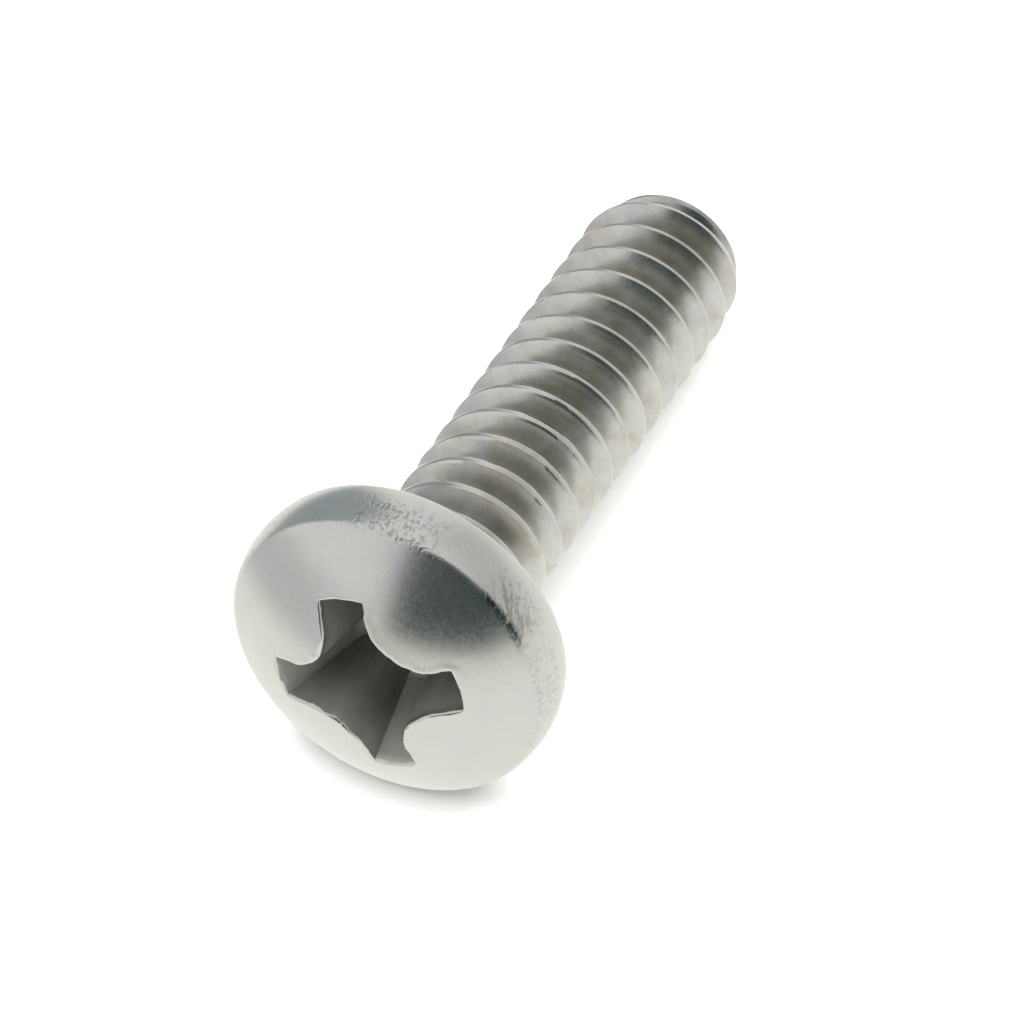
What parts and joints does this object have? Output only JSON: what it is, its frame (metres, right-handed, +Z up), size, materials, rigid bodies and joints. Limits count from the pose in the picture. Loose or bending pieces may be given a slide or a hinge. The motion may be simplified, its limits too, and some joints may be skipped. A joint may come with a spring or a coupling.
{
  "type": "machine screw",
  "caption": "Pan-head machine screw with a cross recess and a thread along its whole shank, lying on its head's rim and its thread.",
  "frame": {"origin": "bottom centre of the bounding box, on the surface it lies on", "axes": "+X along the shank towards the point, which dips 7.7 degrees, +Z up"},
  "size_m": [0.015, 0.0068, 0.0067],
  "materials": {
    "steel": "satin, tumbled, lightly pitted and stained"
  },
  "bodies": {
    "root": {"machine_screw": "steel"}
  },
  "joints": []
}
